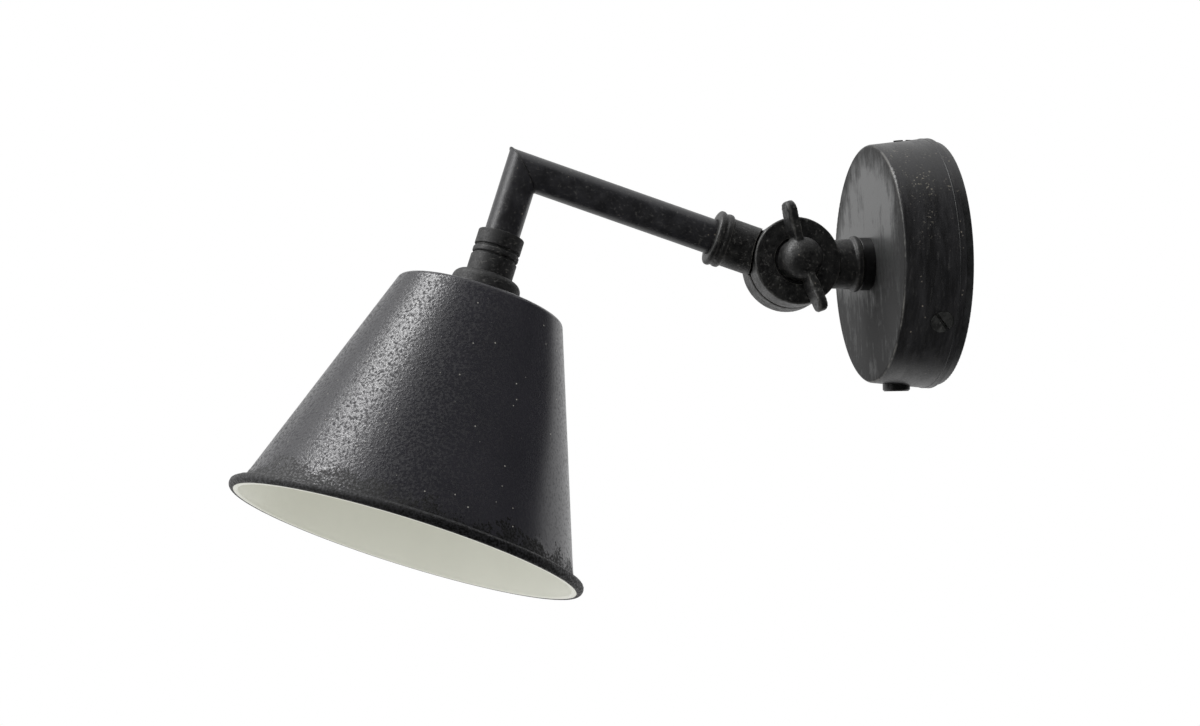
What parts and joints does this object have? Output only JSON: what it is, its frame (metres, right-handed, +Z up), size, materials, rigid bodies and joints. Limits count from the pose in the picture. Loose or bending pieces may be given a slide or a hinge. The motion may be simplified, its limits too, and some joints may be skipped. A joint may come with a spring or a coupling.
{
  "type": "adjustable wall lamp",
  "caption": "Wall lamp with a round rose, a swivelling stem, a knuckle clamped by a wing nut, a tube arm with a mitred elbow and a conical bead-rimmed shade.",
  "frame": {"origin": "centre of the backplate's back face, on the wall", "axes": "+Z up, +Y into the wall (the lamp stands out towards -Y), the knuckle's pivot along X"},
  "size_m": [0.1612, 0.3243, 0.2046],
  "materials": {
    "blackened": "satin",
    "shade_enamel": "satin",
    "steel": "satin",
    "brass": "satin",
    "black_plastic": "satin",
    "white_plastic": "satin",
    "fibre": "matte",
    "porcelain": "gloss"
  },
  "bodies": {
    "rose": {"backplate": "blackened", "rose_cover": "blackened", "cover_screws": "blackened", "terminal_block": "white_plastic", "terminal_inserts": "brass", "terminal_screws": "steel", "earth_screw": "brass", "earth_washer": "brass", "fixing_screws": "steel", "switch_bracket": "steel", "switch_body": "black_plastic", "switch_nut": "steel"},
    "button": {"switch_button": "black_plastic"},
    "stem": {"rose_collar": "blackened", "swivel_nipple": "brass", "swivel_washer": "steel", "swivel_nut": "steel", "knuckle_wall_half": "blackened"},
    "arm": {"knuckle_arm_half": "blackened", "friction_disc": "fibre", "pivot_bolt": "blackened", "arm_tube": "blackened", "drop_tube": "blackened", "coupler": "blackened", "shade_cap": "blackened", "shade": "shade_enamel", "holder_nipple": "brass", "shade_locknut": "steel", "holder_cap": "black_plastic", "holder_body": "black_plastic", "holder_insert": "porcelain", "screw_shell": "brass", "centre_contact": "brass"},
    "nut_washer": {"pressure_washer": "blackened"},
    "wing": {"wing_nut": "blackened"}
  },
  "joints": [
    {"name": "stem_swivel", "type": "hinge", "parent": "rose", "child": "stem", "pos_m": [0, -0.0315, 0], "axis": [0, 1, 0], "range_deg": [-170, 170]},
    {"name": "arm_tilt", "type": "hinge", "parent": "stem", "child": "arm", "pos_m": [0, -0.068, 0], "axis": [1, 0, 0], "range_deg": [-80, 54]},
    {"name": "washer_slide", "type": "slide", "parent": "stem", "child": "nut_washer", "axis": [1, 0, 0], "range_m": [0, 0.0031]},
    {"name": "wing_turn", "type": "hinge", "parent": "nut_washer", "child": "wing", "pos_m": [0.01, -0.068, 0], "axis": [1, 0, 0], "range_deg": [0, 720]},
    {"name": "button_press", "type": "slide", "parent": "rose", "child": "button", "axis": [0.1219, 0, 0.9925], "range_m": [0, 0.0018], "stiffness_N_per_m": 800, "springref_m": -0.002}
  ],
  "couplings": [
    {"joint": "washer_slide", "follows": "wing_turn", "m_per_rad": 0.00023873}
  ]
}
